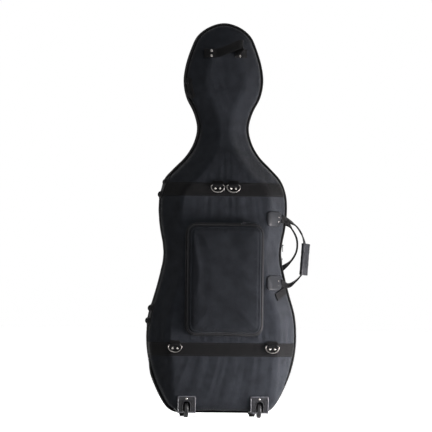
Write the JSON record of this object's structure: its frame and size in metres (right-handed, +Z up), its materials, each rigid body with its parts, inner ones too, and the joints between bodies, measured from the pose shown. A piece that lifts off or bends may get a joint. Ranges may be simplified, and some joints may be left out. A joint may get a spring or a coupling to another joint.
{
  "type": "cello hard case",
  "caption": "Upright hard case for a cello: hinged zipped halves with lining, back pocket, webbing bands with D-rings, top and side carrying handles, side feet, and wheels at the foot.",
  "frame": {"origin": "on the floor, under the middle of the closed case's bounding box", "axes": "+Z up along the case, +X towards the side handles as seen from the back, +Y towards the lid; the pictured back panel faces -Y"},
  "size_m": [0.5556, 0.331, 1.3494],
  "materials": {
    "woven_polyester": "black woven polyester over a moulded shell",
    "plush_lining": "dark grey plush over foam",
    "webbing": "black woven webbing",
    "piping_vinyl": "satin black",
    "zip_nylon": "black nylon coil on woven tape",
    "black_vinyl": "satin black imitation leather",
    "ribbed_plastic": "moulded black, ribbed",
    "wheel_rubber": "black, worn smooth",
    "foot_rubber": "matt black",
    "nickel_steel": "nickel-plated steel",
    "blackened_metal": "black painted cast zinc",
    "dark_foam": "plush-covered foam blocks"
  },
  "bodies": {
    "base": {"base_shell": "woven_polyester", "base_lining": "plush_lining", "base_piping": "piping_vinyl", "base_zip_half": "zip_nylon", "base_hinge_tape": "woven_polyester", "upper_band": "webbing", "lower_band": "webbing", "ring_plate_upper_left": "webbing", "ring_plate_upper_right": "webbing", "ring_plate_lower_left": "webbing", "ring_plate_lower_right": "webbing", "pocket_gusset": "woven_polyester", "pocket_base_piping": "piping_vinyl", "pocket_front_piping": "piping_vinyl", "pocket_zip_slider": "blackened_metal", "zip_slider_upper": "blackened_metal", "zip_slider_lower": "blackened_metal", "top_handle_strap": "webbing", "base_handle_patch_upper": "black_vinyl", "base_handle_patch_lower": "black_vinyl", "base_side_foot_head": "foot_rubber", "base_side_foot_upper": "foot_rubber", "base_side_foot_lower": "foot_rubber", "wheel_housing_left": "ribbed_plastic", "wheel_axle_left": "nickel_steel", "wheel_housing_right": "ribbed_plastic", "wheel_axle_right": "nickel_steel", "neck_cradle": "dark_foam", "neck_strap": "webbing", "upper_body_pad": "dark_foam", "lower_body_pad": "dark_foam"},
    "lid": {"lid_shell": "woven_polyester", "lid_lining": "plush_lining", "lid_piping": "piping_vinyl", "lid_zip_half": "zip_nylon", "lid_hinge_tape": "woven_polyester", "lid_handle_patch_upper": "black_vinyl", "lid_handle_patch_lower": "black_vinyl", "lid_side_foot_head": "foot_rubber", "lid_side_foot_upper": "foot_rubber", "lid_side_foot_lower": "foot_rubber", "lid_foot_left": "foot_rubber", "lid_foot_right": "foot_rubber", "bow_tip_sleeve": "plush_lining"},
    "left_wheel": {"wheel_left": "wheel_rubber"},
    "right_wheel": {"wheel_right": "wheel_rubber"},
    "upper_left_ring": {"d_ring_upper_left": "nickel_steel"},
    "upper_right_ring": {"d_ring_upper_right": "nickel_steel"},
    "lower_left_ring": {"d_ring_lower_left": "nickel_steel"},
    "lower_right_ring": {"d_ring_lower_right": "nickel_steel"},
    "pocket_flap": {"pocket_front": "woven_polyester"},
    "pocket_pull": {"pocket_zip_pull": "blackened_metal"},
    "upper_pull": {"zip_pull_upper": "blackened_metal"},
    "lower_pull": {"zip_pull_lower": "blackened_metal"},
    "base_handle": {"base_handle_strap": "webbing", "handle_grip_wrap": "black_vinyl"},
    "lid_handle": {"lid_handle_strap": "webbing"},
    "left_turner": {"bow_turner_left": "ribbed_plastic"},
    "right_turner": {"bow_turner_right": "ribbed_plastic"}
  },
  "joints": [
    {"name": "lid_hinge", "type": "hinge", "parent": "base", "child": "lid", "pos_m": [-0.27844, 0.00952, 0.29564], "axis": [0.0862, 0, 0.9963], "range_deg": [0, 110]},
    {"name": "left_wheel_spin", "type": "hinge", "parent": "base", "child": "left_wheel", "pos_m": [-0.14674, -0.10248, 0.027], "axis": [1, 0, 0], "continuous": true},
    {"name": "right_wheel_spin", "type": "hinge", "parent": "base", "child": "right_wheel", "pos_m": [0.10326, -0.10248, 0.027], "axis": [1, 0, 0], "continuous": true},
    {"name": "upper_left_ring_swing", "type": "hinge", "parent": "base", "child": "upper_left_ring", "pos_m": [-0.04874, -0.12758, 0.794], "axis": [-1, 0, 0], "range_deg": [0, 165]},
    {"name": "upper_right_ring_swing", "type": "hinge", "parent": "base", "child": "upper_right_ring", "pos_m": [0.00526, -0.12758, 0.794], "axis": [-1, 0, 0], "range_deg": [0, 165]},
    {"name": "lower_left_ring_swing", "type": "hinge", "parent": "base", "child": "lower_left_ring", "pos_m": [-0.18874, -0.12758, 0.247], "axis": [-1, 0, 0], "range_deg": [0, 165]},
    {"name": "lower_right_ring_swing", "type": "hinge", "parent": "base", "child": "lower_right_ring", "pos_m": [0.14526, -0.12758, 0.247], "axis": [-1, 0, 0], "range_deg": [0, 165]},
    {"name": "pocket_flap_fold", "type": "hinge", "parent": "base", "child": "pocket_flap", "pos_m": [-0.02174, -0.14708, 0.283], "axis": [1, 0, 0], "range_deg": [0, 60]},
    {"name": "pocket_pull_flip", "type": "hinge", "parent": "base", "child": "pocket_pull", "pos_m": [0.04026, -0.13378, 0.6677], "axis": [0, -1, 0], "range_deg": [0, 150]},
    {"name": "upper_pull_flip", "type": "hinge", "parent": "base", "child": "upper_pull", "pos_m": [0.18968, 0.00952, 0.592], "axis": [0, -1, 0], "range_deg": [0, 150]},
    {"name": "lower_pull_flip", "type": "hinge", "parent": "base", "child": "lower_pull", "pos_m": [0.18826, 0.00952, 0.545], "axis": [0, -1, 0], "range_deg": [0, 150]},
    {"name": "base_handle_swing", "type": "hinge", "parent": "base", "child": "base_handle", "pos_m": [0.17614, -0.07519, 0.681], "axis": [0.0068, 0, -1], "range_deg": [0, 35]},
    {"name": "lid_handle_swing", "type": "hinge", "parent": "lid", "child": "lid_handle", "pos_m": [0.17614, 0.10683, 0.681], "axis": [0.0425, 0, 0.9991], "range_deg": [0, 35]},
    {"name": "left_turner_turn", "type": "hinge", "parent": "lid", "child": "left_turner", "pos_m": [-0.08374, 0.13692, 0.128], "axis": [0, 1, 0], "range_deg": [-90, 90]},
    {"name": "right_turner_turn", "type": "hinge", "parent": "lid", "child": "right_turner", "pos_m": [0.04026, 0.13692, 0.128], "axis": [0, 1, 0], "range_deg": [-90, 90]}
  ]
}
